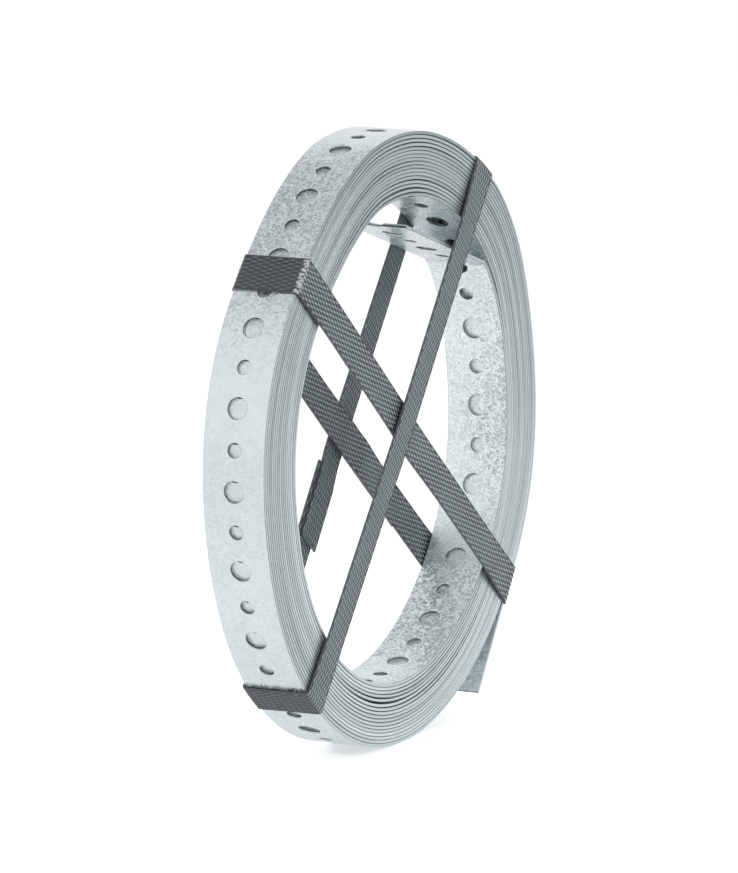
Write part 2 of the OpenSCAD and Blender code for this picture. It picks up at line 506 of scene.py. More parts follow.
@dataclass(frozen=True)
class ZincCoat:
    """Hot-dip zinc with its spangle: crystals that each lean a little and catch the light apart."""

    name: str = "zinc_coat"
    light: Colour = (0.75, 0.82, 0.845, 1)
    dark: Colour = (0.65, 0.725, 0.75, 1)
    seam: Colour = (0.80, 0.87, 0.89, 1)
    # Sizes in millimetres, and the fine crystals against the coarse ones
    crystal: float = 3.4
    fine: float = 0.15
    cloud: float = 30.0
    grain: float = 0.5
    # Strength of the grain and its depth
    bump: tuple[float, float] = (0.12, 0.05)
    # Size of the waves that bend the seams, and how far they bend them
    wave: float = 1.4
    bend: float = 2.0
    # How far the coarse and the fine crystals lean
    lean: tuple[float, float] = (0.05, 0.2)
    # Weights of the coarse crystals, the fine ones and the clouds in the tone
    tone: tuple[float, float, float] = (0.25, 0.6, 0.5)
    # Width of the seams, and how strongly they show
    seam_width: float = 0.16
    seam_share: float = 0.25
    # Roughness of the dark and the pale crystals, and share of metal in the clear and the dull ones
    rough: tuple[float, float] = (0.32, 0.27)
    metal: tuple[float, float] = (0.96, 0.38)

    def make(self) -> bpy.types.Material:
        """Returns the material, which follows the flat band."""
        sh = Shader(bpy.data.materials.new(self.name))
        flat = sh.flat("band")
        wave = sh.noise(flat, self.wave, 4.0, 0.62, "Color")
        bent = sh.vector("MULTIPLY_ADD", wave, (self.bend,) * 3, flat)
        coarse, fine = sh.crystals(bent, self.crystal), sh.crystals(bent, self.crystal * self.fine)
        face = sh.node("ShaderNodeNewGeometry", None, None, "Normal")
        for cell, lean in zip((coarse, fine), self.lean):
            away = sh.vector("SUBTRACT", cell, (0.5,) * 3)
            face = sh.vector("MULTIPLY_ADD", away, (lean,) * 3, face)
        face = sh.vector("NORMALIZE", face)
        broad = sh.node("ShaderNodeSeparateColor", None, {"Color": coarse})
        small = sh.node("ShaderNodeSeparateColor", None, {"Color": fine}, 1)
        cloud = sh.noise(flat, self.cloud) - 0.5
        tone = broad * self.tone[0] + small * self.tone[1] + cloud * self.tone[2]
        pale = (tone + 0.1).step(0.05, 0.85)
        colour = sh.mix(pale, self.dark, self.light)
        seam = sh.crystals(bent, self.crystal, "DISTANCE_TO_EDGE", "Distance")
        colour = sh.mix(seam.step(0.0, self.seam_width).between(self.seam_share, 0.0), colour, self.seam)
        bump = sh.bump(sh.noise(flat, self.grain, 2.0), *self.bump, face)
        # The duller of the fine crystals mirror less, so they show as flecks where the surroundings are dark
        metal = small.step(0.2, 0.8).between(*self.metal)
        rough = pale.between(*self.rough)
        return sh.surface({"Base Color": colour, "Metallic": metal, "Roughness": rough, "Normal": bump})


@dataclass(frozen=True)
class SlitEdge:
    """Slit edge of the band, with the streaks of the shear, a tone that wanders from turn to turn, and
    painted shade along the gaps between the turns.
    """

    name: str = "slit_edge"
    light: Colour = (0.84, 0.92, 0.945, 1)
    dark: Colour = (0.42, 0.495, 0.52, 1)
    # Painted shade on the borders of the edge beside the gaps between the turns
    gap: Colour = (0.07, 0.08, 0.085, 1)
    streak: float = 4.0
    # Strength of the streaks and their depth
    bump: tuple[float, float] = (0.2, 0.05)
    # Stretch of the streaks along the band, across it and through the sheet
    stretch: tuple[float, float, float] = (0.06, 0.3, 16.0)
    # Length along the band over which the tone wanders
    wander: float = 130.0
    # Weights of the streaks and of the wandering in the tone
    tone: tuple[float, float] = (0.6, 0.7)
    # Gaps between the turns in millimetres from which the painted shade beside them starts, and at which it
    # is full
    shaded_gap: tuple[float, float] = (0.03, 0.2)
    # Share of that painted shade where the turns lie closed
    closed_gap_shade: float = 0.2
    # Roughness of the dark and the pale streaks
    rough: tuple[float, float] = (0.46, 0.34)
    metal: float = 0.85

    def make(self) -> bpy.types.Material:
        """Returns the material, which follows the flat band."""
        sh = Shader(bpy.data.materials.new(self.name))
        depth = sh.value("sheet_depth")
        along, across, through = self.stretch
        place = sh.node("ShaderNodeCombineXYZ", None, {"X": depth * through, "Y": 0.0, "Z": 0.0})
        place = sh.vector("MULTIPLY_ADD", sh.flat("band"), (along, across, 1), place)
        streak = sh.noise(place, self.streak)
        turn = sh.noise(sh.flat("band", self.wander), 1.0, 1.0, 0.4)
        pale = (streak * self.tone[0] + turn * self.tone[1]).step(0.36, 0.9)
        colour = sh.mix(pale, self.dark, self.light)
        # Both borders of the sheet's thickness, which lie beside the gaps, get painted shade, fuller where
        # the gap is open
        border = (depth * depth * 4.0).step(0.42, 0.92)
        gap = sh.value("gap").step(*self.shaded_gap).between(self.closed_gap_shade, 1.0)
        colour = sh.mix(border * gap, colour, self.gap)
        rough, bump = pale.between(*self.rough), sh.bump(streak, *self.bump)
        return sh.surface({"Base Color": colour, "Metallic": self.metal, "Roughness": rough, "Normal": bump})


@dataclass(frozen=True)
class PunchedWall:
    """Wall of a punched hole: dull torn steel below a burnished lip, the torn steel darkened far past its own
    tone as painted shade deep in the hole.
    """

    name: str = "punched_wall"
    lip: Colour = (0.5, 0.545, 0.56, 1)
    # Torn steel, darkened as painted shade at the foot of the hole
    torn_and_shaded: Colour = (0.06, 0.067, 0.07, 1)
    ragged: float = 0.6
    # Strength of the ragged relief and its depth
    bump: tuple[float, float] = (0.3, 0.06)
    # Depths in the sheet, out from its middle, between which the torn steel with its painted shade turns into
    # the lip
    lip_from: tuple[float, float] = (-0.25, 0.45)
    # Roughness of the torn steel and of the lip
    rough: tuple[float, float] = (0.56, 0.36)
    metal: float = 0.7

    def make(self) -> bpy.types.Material:
        """Returns the material, which follows the depth in the sheet."""
        sh = Shader(bpy.data.materials.new(self.name))
        ragged = sh.noise(sh.flat("band"), self.ragged)
        lip = (sh.value("sheet_depth") + (ragged - 0.5) * 0.5).step(*self.lip_from)
        # Painted shade on the torn steel at the foot of the hole
        colour = sh.mix(lip, self.torn_and_shaded, self.lip)
        rough, bump = lip.between(*self.rough), sh.bump(ragged, *self.bump)
        return sh.surface({"Base Color": colour, "Metallic": self.metal, "Roughness": rough, "Normal": bump})


@dataclass(frozen=True)
class StrapPlastic:
    """Grey strapping plastic, embossed, with painted light: its net is painted pale as a highlight, paler on
    the runs as painted sheen, and its cells and cut sides dark as painted shade; it is worn where it is
    folded.
    """

    name: str = "strap_plastic"
    # Painted light on the embossing: the net and its knots as a highlight, pale on the runs and plain on the
    # rim pieces, and the cells as shade
    net: Colour = (0.31, 0.375, 0.388, 1)
    plain: Colour = (0.11, 0.132, 0.139, 1)
    cell: Colour = (0.03, 0.039, 0.042, 1)
    wear: Colour = (0.62, 0.66, 0.66, 1)
    # Painted shade on the cut sides of the strap
    side: Colour = (0.08, 0.094, 0.099, 1)
    grain: float = 0.8
    # Strength of the grain and its depth
    bump: tuple[float, float] = (0.3, 0.08)
    cloud: float = 14.0
    # Share of the net's colour in the cells, where random clouds of wear lighten them
    cloud_share: float = 0.12
    # How much a fold helps the grain to wear, and the range in which it wears through
    fold_share: float = 0.3
    wear_from: tuple[float, float] = (0.74, 0.86)
    rough: tuple[float, float] = (0.36, 0.56)
    gloss: float = 0.7

    def make(self) -> bpy.types.Material:
        """Returns the material, which follows the flat strap."""
        sh = Shader(bpy.data.materials.new(self.name))
        flat = sh.flat("strap")
        relief, fold = sh.value("relief"), sh.value("fold")
        grain = sh.noise(flat, self.grain, 4.0, 0.65)
        cloud = sh.noise(flat, self.cloud, rough=0.5)
        # The net is painted paler on the runs, which face the ends of the coil, than on the rim pieces, as
        # painted sheen
        net = sh.mix(sh.value("painted_sheen"), self.plain, self.net)
        # Painted highlight on the net and its knots, and painted shade down the walls and on the floors of
        # the cells
        colour = sh.mix(relief.step(0.0, 0.75), net, self.cell)
        colour = sh.mix(cloud.step(0.35, 0.75) * self.cloud_share, colour, net)
        worn = (grain + fold * self.fold_share).step(*self.wear_from) * fold
        colour = sh.mix(worn, colour, self.wear)
        # Painted shade on the cut sides
        colour = sh.mix((relief - CELL_FLOOR).step(0.2, 0.8), colour, self.side)
        rough, bump = grain.between(*self.rough), sh.bump(grain, *self.bump)
        return sh.surface(
            {"Base Color": colour, "Roughness": rough, "Normal": bump, "Specular IOR Level": self.gloss}
        )


def new_piece(name: str, bm: bmesh.types.BMesh, finishes: list[bpy.types.Material]) -> bpy.types.Object:
    """Makes an object of a mesh.

    Args:
        name: name of the piece.
        bm: its mesh, which is freed.
        finishes: its materials.

    Returns:
        The object, in the scene.
    """
    mesh = bpy.data.meshes.new(name)
    bm.to_mesh(mesh)
    bm.free()
    for finish in finishes:
        mesh.materials.append(finish)
    piece = bpy.data.objects.new(name, mesh)
    bpy.context.scene.collection.objects.link(piece)
    return piece


def soften(bm: bmesh.types.BMesh, geom: list, offset: float, affect: str = "EDGES") -> None:
    """Bevels edges or vertices with one flat face."""
    bmesh.ops.bevel(bm, geom=geom, offset=offset, offset_type="OFFSET", affect=affect, segments=1,
                    profile=0.5, material=-1)


def move_made(bm: bmesh.types.BMesh, made: dict, way: Spot) -> None:
    """Moves the vertices that an operator made."""
    verts = [v for v in made["geom"] if isinstance(v, bmesh.types.BMVert)]
    bmesh.ops.translate(bm, verts=verts, vec=way)


def flat_places(mesh: bpy.types.Mesh) -> np.ndarray:
    """Returns the places of a mesh's vertices, one row each."""
    places = np.empty(len(mesh.vertices) * 3, np.float32)
    mesh.vertices.foreach_get("co", places)
    return places.reshape(-1, 3).astype(float)


def corner_vertices(mesh: bpy.types.Mesh) -> np.ndarray:
    """Returns the vertex of each corner of a mesh's faces."""
    corners = np.empty(len(mesh.loops), np.int32)
    mesh.loops.foreach_get("vertex_index", corners)
    return corners


def keep_flat_map(mesh: bpy.types.Mesh, layer: str, flat: np.ndarray) -> None:
    """Writes the flat strip's places as a map.

    Args:
        mesh: the mesh.
        layer: name of the map.
        flat: places on the flat strip in millimetres, one row for each vertex.
    """
    uv = mesh.uv_layers.new(name=layer)
    uv.uv.foreach_set("vector", (flat[corner_vertices(mesh), :2] * MM).astype(np.float32).ravel())


def keep_value(mesh: bpy.types.Mesh, name: str, values: np.ndarray) -> None:
    """Writes one number for each vertex.

    Args:
        mesh: the mesh.
        name: name of the attribute.
        values: the numbers.
    """
    mesh.attributes.new(name, "FLOAT", "POINT").data.foreach_set("value", values.astype(np.float32))


@dataclass
class BandCoil:
    """The wound band: a flat perforated strip that is bent along the winding."""

    sizes: CoilSizes
    path: WindingPath
    edge_round: float = 0.2
    rim_round: float = 0.24
    fine_segments: int = 32
    coarse_segments: int = 10
    link_steps: int = 4
    # Half the width of the middle of a link, which holds the hole
    link_middle: float = 5.0
    # Links are welded where their vertices lie this near
    weld: float = 0.004
    # Turns at the inner and the outer end that get fine holes, each taken as long as a turn of this radius
    fine_turns: tuple[float, float] = (1.7, 2.0)
    long_r: float = 95.0
    sway: float = 0.05
    sway_waves: tuple[float, ...] = (610.0, 455.0, 270.0, 173.0)
    sway_seed: int = 11
    # Length from the inner end, or back from where the outer tail leaves, and how far the holes shift there
    inner_shift: tuple[tuple[float, float], ...] = (
        (0, 0), (40, 0), (60, -0.6), (73, -1.5), (98, -1.1), (122, -0.9), (196, -1.7), (256, -2.2),
        (330, -3.6), (400, -4.9), (472, -4.9), (555, 2.2), (640, 2.4), (1000, 2.4))
    outer_shift: tuple[tuple[float, float], ...] = (
        (1000, 5.2), (756, 5.2), (430, -1.2), (160, -1.1), (60, 0), (0, 0))
    pitch: float = field(init=False)
    count: int = field(init=False)

    def __post_init__(self) -> None:
        """Fits the hole pitch so that the holes fall right at both ends of the band."""
        length = self.path.leave - self.sizes.outer_hole_start
        self.count = 2 * round((length / self.sizes.hole_pitch - 1) / 2) + 1
        self.pitch = length / self.count

    def _link(self, hole: Hole, fine: bool) -> bpy.types.Mesh:
        """Makes one link of the flat strip, with one hole in its middle.

        Args:
            hole: the hole.
            fine: whether the hole has many segments and a rounded rim.

        Returns:
            The link in millimetres: X along the band, Y across it, Z out of the coil.
        """
        half_w, half_t, half_p = self.sizes.band_w / 2, self.sizes.band_t / 2, self.pitch / 2
        segments = self.fine_segments if fine else self.coarse_segments
        bm = bmesh.new()
        bmesh.ops.create_grid(bm, x_segments=self.link_steps, y_segments=1, size=1.0)
        bmesh.ops.scale(bm, vec=(half_p, self.link_middle, 1.0), verts=bm.verts[:])
        bmesh.ops.delete(bm, geom=bm.faces[:], context="FACES_ONLY")
        inner = [e for e in bm.edges if abs(e.verts[0].co.x - e.verts[1].co.x) < SAME
                 and abs(e.verts[0].co.x) < half_p - SAME]
        bmesh.ops.delete(bm, geom=inner, context="EDGES")
        outline = bm.edges[:]
        bmesh.ops.create_circle(bm, cap_ends=False, segments=segments, radius=hole.value / 2)
        bmesh.ops.triangle_fill(bm, use_beauty=True, use_dissolve=False, edges=bm.edges[:])
        for side in (-1, 1):
            border = [e for e in outline if all(v.co.y * side > self.link_middle - SAME for v in e.verts)]
            wide = bmesh.ops.extrude_edge_only(bm, edges=border)
            move_made(bm, wide, (0, side * (half_w - self.link_middle), 0))
        bmesh.ops.recalc_face_normals(bm, faces=bm.faces[:])
        bmesh.ops.translate(bm, verts=bm.verts[:], vec=(0, 0, -half_t))
        move_made(bm, bmesh.ops.extrude_face_region(bm, geom=bm.faces[:]), (0, 0, self.sizes.band_t))
        bm.normal_update()
        ends = [f for f in bm.faces if all(abs(abs(v.co.x) - half_p) < SAME for v in f.verts)]
        bmesh.ops.delete(bm, geom=ends, context="FACES_ONLY")
        bmesh.ops.delete(bm, geom=[e for e in bm.edges if not e.link_faces], context="EDGES")
        bmesh.ops.recalc_face_normals(bm, faces=bm.faces[:])
        long_edges = [e for e in bm.edges if e.is_manifold
                      and all(abs(abs(v.co.y) - half_w) < SAME for v in e.verts)
                      and abs(e.verts[0].co.z - e.verts[1].co.z) < SAME
                      and abs(e.verts[0].co.x - e.verts[1].co.x) > SAME]
        soften(bm, long_edges, self.edge_round)
        if fine:
            rims = [e for e in bm.edges if abs(e.verts[0].co.z - e.verts[1].co.z) < SAME
                    and all(abs(v.co.xy.length - hole.value / 2) < SAME for v in e.verts)]
            soften(bm, rims, self.rim_round)
        mesh = bpy.data.meshes.new("link")
        bm.to_mesh(mesh)
        bm.free()
        return mesh

    def _strip(self) -> bmesh.types.BMesh:
        """Joins the links to one flat strip and cuts its ends.

        Returns:
            The strip, closed, with X from 0 at the inner end of the band.
        """
        turn = math.ceil(FULL_TURN * self.long_r / self.pitch)
        inner, outer = (count * turn for count in self.fine_turns)
        beyond = self.sizes.outer_tail + self.sizes.outer_hole_start
        last = self.count + math.floor(beyond / self.pitch) + 1
        links = {}
        for hole in Hole:
            for fine in (True, False):
                links[hole, fine] = [self._link(hole, fine), 0.0]
        bm = bmesh.new()
        for i in range(last + 1):
            fine = i < inner or i > self.count - outer
            link = links[Hole.WIDE if i % 2 else Hole.NARROW, fine]
            link[0].transform(Matrix.Translation((i * self.pitch - link[1], 0, 0)))
            link[1] = i * self.pitch
            bm.from_mesh(link[0])
        for mesh, _ in links.values():
            bpy.data.meshes.remove(mesh)
        bmesh.ops.remove_doubles(bm, verts=bm.verts[:], dist=self.weld)
        for place, way in ((0.0, -1), (float(self.path.length[-1]), 1)):
            bmesh.ops.bisect_plane(bm, geom=bm.verts[:] + bm.edges[:] + bm.faces[:], dist=1e-5,
                                   plane_co=(place, 0, 0), plane_no=(way, 0, 0), clear_outer=True)
        bmesh.ops.holes_fill(bm, edges=[e for e in bm.edges if e.is_boundary], sides=0)
        bmesh.ops.recalc_face_normals(bm, faces=bm.faces[:])
        return bm

    def _directions(self, mesh: bpy.types.Mesh, flat: np.ndarray) -> tuple[np.ndarray, np.ndarray]:
        """Works out the smooth directions of the flat strip's surface.

        Args:
            mesh: the flat strip.
            flat: its vertices.

        Returns:
            A direction for each corner of its faces, and for each face the number of its finish.
        """
        faces = np.empty(len(mesh.polygons) * 3, np.float32)
        mesh.polygons.foreach_get("normal", faces)
        faces = faces.reshape(-1, 3).astype(float)
        sizes = np.empty(len(mesh.polygons), np.int32)
        mesh.polygons.foreach_get("loop_total", sizes)
        corner = flat[corner_vertices(mesh)]
        own = np.repeat(faces, sizes, axis=0)
        index = np.round(corner[:, 0] / self.pitch)
        radial = -np.column_stack([corner[:, 0] - index * self.pitch, corner[:, 1], np.zeros(len(corner))])
        reach = np.hypot(radial[:, 0], radial[:, 1])
        radial /= np.maximum(reach, 1e-6)[:, None]
        half_w, half_t = self.sizes.band_w / 2, self.sizes.band_t / 2
        hole_r = np.where(index.astype(int) % 2, Hole.WIDE.value, Hole.NARROW.value) / 2
        spare, level, slope = 0.02, 0.99, 0.05
        tilted, sloped = np.abs(own[:, 2]) < level, np.abs(own[:, 2]) > slope
        wall = (reach < hole_r + self.rim_round + spare) & tilted
        cap = np.abs(own[:, 0]) > 0.999
        cap &= (corner[:, 0] < spare / 2) | (corner[:, 0] > self.path.length[-1] - spare / 2)
        edge = (np.abs(corner[:, 1]) > half_w - self.edge_round - spare) & tilted & ~cap
        up = np.zeros_like(own)
        up[:, 2] = np.sign(corner[:, 2])
        side = np.zeros_like(own)
        side[:, 1] = np.sign(corner[:, 1])
        flush = sloped & (np.abs(corner[:, 2]) > half_t - spare / 2)
        found = own.copy()
        for face, way in ((wall & ~cap, radial), (edge, side)):
            found[face] = way[face]
            found[face & flush] = up[face & flush]
        middle = np.add.reduceat(np.abs(corner[:, 1]), np.append(0, np.cumsum(sizes)[:-1])) / sizes
        rounded = (middle > half_w - 2 * self.edge_round) & (np.abs(faces[:, 2]) < level)
        broad = np.abs(faces[:, 2]) > slope
        return found, np.where(rounded, 1, np.where(broad, 0, 2))

    def build(self) -> bpy.types.Object:
        """Makes the flat strip and winds it.

        Returns:
            The wound band.
        """
        finishes = [kind().make() for kind in (ZincCoat, SlitEdge, PunchedWall)]
        piece = new_piece("band_coil", self._strip(), finishes)
        mesh = piece.data
        flat = flat_places(mesh)
        ways, finish = self._directions(mesh, flat)
        spots = np.array(self.inner_shift + tuple((self.path.leave - x, y) for x, y in self.outer_shift))
        flat[:, 0] += np.interp(flat[:, 0], *spots.T)
        place, way = self.path.at(flat[:, 0])
        lean = self._lean(flat[:, 0])
        out = np.column_stack([-way[:, 1], way[:, 0]])
        wound = np.column_stack([
            self.sizes.axis_x + place[:, 0] + out[:, 0] * flat[:, 2],
            flat[:, 1] + lean,
            self.sizes.axis_z + place[:, 1] + out[:, 1] * flat[:, 2],
        ])
        keep_flat_map(mesh, "band", flat)
        keep_value(mesh, "sheet_depth", flat[:, 2])
        # Width of the gaps between the turns, from which the slit edges get their painted shade
        keep_value(mesh, "gap", self.path.open(flat[:, 0]))
        corner = corner_vertices(mesh)
        across, away = way[corner], out[corner]
        turned = np.column_stack([
            across[:, 0] * ways[:, 0] + away[:, 0] * ways[:, 2],
            ways[:, 1],
            across[:, 1] * ways[:, 0] + away[:, 1] * ways[:, 2],
        ])
        mesh.vertices.foreach_set("co", (wound * MM).astype(np.float32).ravel())
        mesh.polygons.foreach_set("material_index", finish.astype(np.int32))
        mesh.polygons.foreach_set("use_smooth", np.ones(len(mesh.polygons), bool))
        mesh.update()
        mesh.normals_split_custom_set(turned.tolist())
        return piece

    def _lean(self, length: np.ndarray) -> np.ndarray:
        """Gives the small sideways sway of the turns.

        Args:
            length: lengths along the band.

        Returns:
            How far the band stands to the side there, in millimetres.
        """
        random = np.random.default_rng(self.sway_seed)
        lean = np.zeros_like(length)
        for wave in self.sway_waves:
            lean += np.sin(FULL_TURN * length / wave + random.uniform(0, ANY_PHASE))
        return self.sway * lean / len(self.sway_waves)

    def dress(self, piece: bpy.types.Object) -> None:
        """Says what the wound band rides on and stands for."""
        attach(piece, "root")
        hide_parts("steel_band")


@dataclass
class TieStrap:
    """A plastic strap round the coil, with its ends welded in an overlap on the far side."""

    name: str
    node: str
    sizes: CoilSizes
    path: WindingPath
    turning: Turning
    angle: float
    off: float
    seal_start: float
    seal_len: float
    # Shift to the side, how far an edge stands off (below 0 the other edge) and wear, each at ten places: the
    # hidden end; before, on both folds of and behind the first rim; the same at the second rim; the cut end
    shift: tuple[float, ...]
    stand: tuple[float, ...]
    worn: tuple[float, ...]
    crossing: float
    rise: float
    width: float = 12.0
    thickness: float = 0.6
    gap: float = 0.08
    fold_r: float = 0.75
    # Where the other strap presses this one in, this share of its stand-off goes, over this length
    press: float = 0.5
    ease: float = 14.0
    cell_along: float = 4.08
    cell_across: float = 1.5
    knot: float = 0.6
    net: float = 0.23
    sink: float = 0.16
    least_cell: float = 0.5
    # Faces this near to a fold get extra edges there
    fold_near: float = 3.0
    # Distance of the places before and behind the folds from them
    fold_reach: float = 22.0
    # Where the strap starts to follow the rim, from the middle of its run, and over what length it does so
    rim_start: float = 66.0
    rim_ease: float = 22.0
    # Room of the overlap, half the length of its step and the radius of the step's bends
    weld_gap: float = 0.03
    weld_step: float = 3.0
    weld_r: float = 6.0
    rim_points: int = 25
    rim_tries: int = 12
    arc_points: int = 15
    fine_step: float = 0.25
    # Square of the length over which a fold is worn
    wear_reach: float = 0.9
    # Length beside the other strap over which the lift stays level, and how far inside the bore it starts
    lift_spare: float = 1.0
    lift_foot: float = 4.0

    def _ends(self, side: int) -> tuple[np.ndarray, np.ndarray]:
        """Finds where the strap meets the rim of the coil.

        Args:
            side: 1 at the end that the angle points to, -1 at the other.

        Returns:
            Places across the strap, and the distance of the rim there along the strap.
        """
        angle, leave = math.radians(self.angle), math.radians(self.sizes.outer_end_angle)
        along = np.array([math.cos(angle), math.sin(angle)])
        across = np.array([-along[1], along[0]])
        place = np.linspace(-self.width / 2, self.width / 2, self.rim_points)
        # The height of the axis, about the radius of the rim, is the first guess
        far = np.full_like(place, self.sizes.axis_z)
        for _ in range(self.rim_tries):
            point = side * far[:, None] * along + (self.off + place)[:, None] * across
            rim = self.path.rim(np.arctan2(point[:, 1], point[:, 0]))
            far = np.sqrt(rim**2 - (self.off + place) ** 2)
        tail = np.array([math.cos(leave), math.sin(leave)])
        if side * along @ tail > 0.9:
            reach = float(self.path.rim(np.array([leave + 1e-4]))[0])
            far = np.maximum(far, (reach - (self.off + place) * (across @ tail)) / (side * along @ tail))
        return place, far

    def _lift(self, s: np.ndarray) -> np.ndarray:
        """Gives how far the strap stands off the end of the coil.

        Args:
            s: places along the run, from its middle.

        Returns:
            How far the other strap lifts it, or presses it in, where they cross.
        """
        flat, foot = self.width / 2 + self.lift_spare, self.sizes.inner_r - self.lift_foot
        return self.rise * np.clip((foot - np.abs(s - self.crossing)) / (foot - flat), 0, 1)

    def _line(self) -> dict[str, np.ndarray]:
        """Lays the line of the strap, from its inner end round the coil to its outer end.

        Returns:
            Lengths, places along and beside the run, and how much the line is folded there.
        """
        turn = self.turning.value
        level = self.sizes.band_w / 2 + self.gap + self.thickness / 2
        under = level - self.thickness - self.weld_gap
        off = self.gap + self.thickness / 2
        one, other = (side * (float(np.interp(0.0, *self._ends(side))) + off) for side in (-turn, turn))
        start, step = self.seal_start * turn, self.weld_step * turn
        corners = [
            (start + turn * self.seal_len, under, 0.0), (start + step, under, self.weld_r),
            (start - step, level, self.weld_r), (one, level, self.fold_r), (one, -level, self.fold_r),
            (other, -level, self.fold_r), (other, level, self.fold_r), (start, level, 0.0),
        ]
        points, folds = [np.array(corners[0][:2])], [0.0]
        for i in range(1, len(corners) - 1):
            here = np.array(corners[i][:2])
            back, ahead = np.array(corners[i - 1][:2]) - here, np.array(corners[i + 1][:2]) - here
            back, ahead = back / np.hypot(*back), ahead / np.hypot(*ahead)
            half = math.acos(float(np.clip(back @ ahead, -1, 1))) / 2
            radius = corners[i][2]
            middle = here + (back + ahead) / np.hypot(*(back + ahead)) * radius / math.sin(half)
            first, final = here + back * radius / math.tan(half), here + ahead * radius / math.tan(half)
            for t in np.linspace(0, 1, self.arc_points):
                arm = (1 - t) * first + t * final - middle
                points.append(middle + arm / np.hypot(*arm) * radius)
                folds.append(1.0 if radius == self.fold_r else 0.0)
        points.append(np.array(corners[-1][:2]))
        folds.append(0.0)
        coarse, folds = np.array(points), np.array(folds)
        walk = np.append(0.0, np.cumsum(np.hypot(*np.diff(coarse, axis=0).T)))
        length = np.union1d(walk, np.arange(0.0, walk[-1], self.fine_step))
        bends = walk[folds > 0.5]
        s, y = (np.interp(length, walk, c) for c in coarse.T)
        y = y + np.sign(y) * self._lift(s) * (np.abs(s) < self.sizes.inner_r)
        way = np.gradient(np.column_stack([s, y]), length, axis=0)
        way /= np.hypot(*way.T)[:, None]
        fold = np.exp(-((length[:, None] - bends) ** 2).min(1) / self.wear_reach)
        knots = self._knots(bends.reshape(4, -1).mean(1), float(walk[-1]))
        return {"length": length, "s": s, "y": y, "ds": way[:, 0], "dy": way[:, 1], "fold": fold,
                "bends": bends, "knots": knots}

    def _knots(self, folds: np.ndarray, total: float) -> np.ndarray:
        """Returns the lengths at which the shift, stand-off and wear of the strap are given."""
        before, behind = folds - self.fold_reach, folds + self.fold_reach
        return np.array([0.0, before[0], *folds[:2], behind[1], before[2], *folds[2:], behind[3], total])

    def _sheet(self, total: float, bends: np.ndarray) -> bmesh.types.BMesh:
        """Makes the flat strap with its embossed net.

        Args:
            total: length of the strap.
            bends: lengths at which the strap is folded, where the sheet gets extra edges.

        Returns:
            The strap in millimetres: X along it, Y across it, Z out of the loop.
        """
        bm = bmesh.new()
        bmesh.ops.create_grid(bm, x_segments=round(total / self.cell_along),
                              y_segments=round(self.width / self.cell_across), size=1.0)
        bmesh.ops.scale(bm, vec=(total / 2, self.width / 2, 1.0), verts=bm.verts[:])
        bmesh.ops.translate(bm, vec=(total / 2, 0, -self.thickness / 2), verts=bm.verts[:])
        lines = [e for e in bm.edges if not e.is_boundary]
        bmesh.ops.poke(bm, faces=bm.faces[:])
        bmesh.ops.dissolve_edges(bm, edges=lines, use_verts=False)
        soften(bm, [v for v in bm.verts if not v.is_boundary], self.knot, "VERTICES")
        bmesh.ops.recalc_face_normals(bm, faces=bm.faces[:])
        move_made(bm, bmesh.ops.extrude_face_region(bm, geom=bm.faces[:]), (0, 0, self.thickness))
        bmesh.ops.recalc_face_normals(bm, faces=bm.faces[:])
        # The cells sink in, and the small knots between them stay
        cells = [f for f in bm.faces if f.calc_area() > self.least_cell and abs(f.normal.z) > 0.9]
        bmesh.ops.inset_individual(bm, faces=cells, thickness=self.net, depth=-self.sink,
                                   use_even_offset=True)
        for place in bends[::3]:
            near = [f for f in bm.faces if abs(f.calc_center_median().x - place) < self.fold_near]
            geom = list(dict.fromkeys(g for f in near for g in (*f.verts, *f.edges))) + near
            bmesh.ops.bisect_plane(bm, geom=geom, dist=1e-4, plane_co=(float(place), 0, 0),
                                   plane_no=(1, 0, 0))
        return bm

    def build(self, finish: bpy.types.Material) -> bpy.types.Object:
        """Makes the flat strap and lays it round the coil.

        Args:
            finish: its material.

        Returns:
            The strap.
        """
        line = self._line()
        total = float(line["length"][-1])
        piece = new_piece(self.name, self._sheet(total, line["bends"]), [finish])
        mesh = piece.data
        flat = flat_places(mesh)
        names = ("s", "y", "ds", "dy", "fold")
        s, y, ds, dy, fold = (np.interp(flat[:, 0], line["length"], line[name]) for name in names)
        size = np.hypot(ds, dy)
        turn = self.turning.value
        q = turn * flat[:, 1]
        out_s, out_y = turn * dy / size, -turn * ds / size
        s, y = s + out_s * flat[:, 2], y + out_y * flat[:, 2]
        for side in (-1, 1):
            place, far = self._ends(side)
            shift = np.interp(q, place, far - np.interp(0.0, place, far))
            share = np.clip((side * s - self.rim_start) / self.rim_ease, 0, 1)
            s = s + side * shift * share * share * (3 - 2 * share)
        stand = np.interp(flat[:, 0], line["knots"], self.stand)
        if self.rise < 0:
            stand *= 1 - self.press * np.exp(-(((s - self.crossing) / self.ease) ** 2))
        away = np.abs(stand) * (0.5 + np.sign(stand) * q / self.width)
        s, y = s + out_s * away, y + out_y * away
        q = q + np.interp(flat[:, 0], line["knots"], self.shift)
        angle = math.radians(self.angle)
        wound = np.column_stack([
            self.sizes.axis_x + math.cos(angle) * s - math.sin(angle) * (self.off + q),
            y,
            self.sizes.axis_z + math.sin(angle) * s + math.cos(angle) * (self.off + q),
        ])
        keep_flat_map(mesh, "strap", flat)
        # Marks of the net, the cells and the cut sides, on which the material paints highlight and shade
        relief = np.where(np.abs(flat[:, 2]) < self.thickness / 2 - self.sink / 2, CELL_FLOOR, 0.0)
        relief[np.abs(flat[:, 1]) > self.width / 2 - 0.01] = CUT_SIDE
        keep_value(mesh, "relief", relief)
